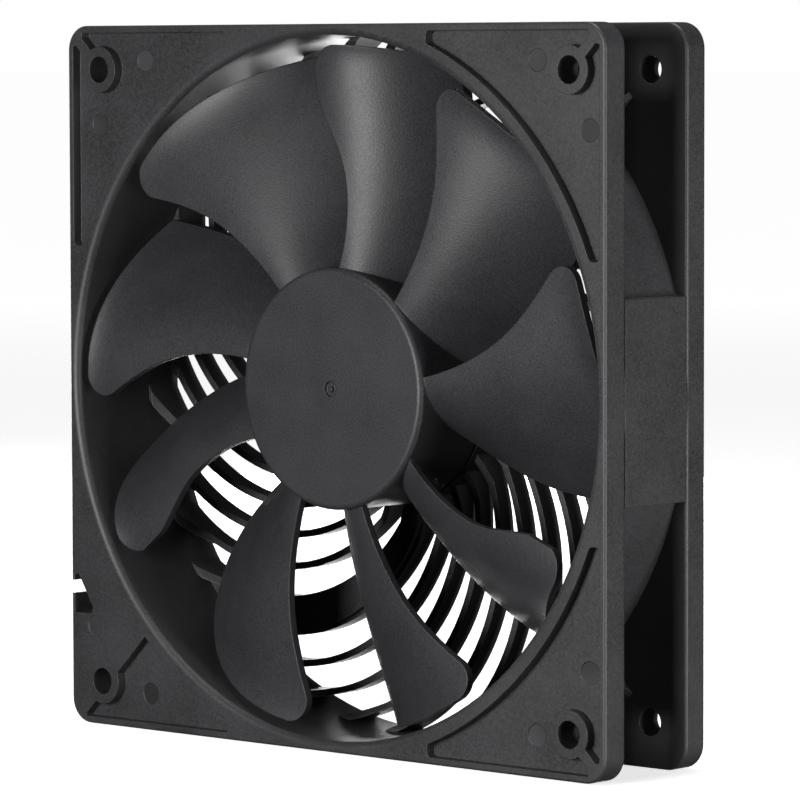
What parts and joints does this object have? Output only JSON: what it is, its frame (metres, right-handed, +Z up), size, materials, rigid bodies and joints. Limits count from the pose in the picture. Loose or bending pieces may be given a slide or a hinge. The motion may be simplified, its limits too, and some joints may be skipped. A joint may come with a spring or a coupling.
{
  "type": "case fan",
  "caption": "Square axial computer case fan with swept blades, a spiral rear grille moulded into its frame and a brushless motor in the hub.",
  "frame": {"origin": "centre of the frame on the spin axis, halfway between the intake face and the rear face", "axes": "+Z up, +X to the right seen from the intake side, +Y along the air flow from the intake face to the rear grille"},
  "size_m": [0.12, 0.025, 0.12],
  "materials": {
    "frame_plastic": "black glass-filled plastic with a fine spark-eroded grain",
    "impeller_plastic": "dark charcoal plastic, soft sheen",
    "yoke_steel": "drawn zinc-plated steel",
    "magnet": "bonded ferrite, dark brown grey",
    "brass": "turned",
    "shaft_steel": "ground and polished",
    "spring_steel": "blued spring steel",
    "bronze": "sintered, oil soaked",
    "nylon": "natural nylon",
    "lamination_steel": "stacked laminations",
    "bobbin_plastic": "moulded bobbin",
    "copper_wire": "enamelled copper windings",
    "tinned_pin": "tinned",
    "board": "solder-masked board",
    "chip_plastic": "moulded chip",
    "ceramic": "fired ceramic",
    "label": "plain printed film"
  },
  "bodies": {
    "housing": {"frame": "frame_plastic", "bearing_sleeve": "bronze", "oil_retainer": "nylon", "wear_washer": "nylon", "thrust_pad": "nylon", "stator_core": "lamination_steel", "insulator_front": "bobbin_plastic", "insulator_rear": "bobbin_plastic", "coil_1": "copper_wire", "coil_2": "copper_wire", "coil_3": "copper_wire", "coil_4": "copper_wire", "terminal_pins": "tinned_pin", "circuit_board": "board", "hall_sensor": "chip_plastic", "driver_chip": "chip_plastic", "capacitor": "ceramic", "resistors": "chip_plastic", "wire_pads": "tinned_pin", "rear_label": "label"},
    "rotor": {"impeller": "impeller_plastic", "rotor_yoke": "yoke_steel", "ring_magnet": "magnet", "shaft_boss": "brass", "shaft": "shaft_steel", "retaining_clip": "spring_steel"}
  },
  "joints": [
    {"name": "rotor_spin", "type": "hinge", "parent": "housing", "child": "rotor", "pos_m": [0, 0, 0], "axis": [0, -1, 0], "continuous": true}
  ]
}
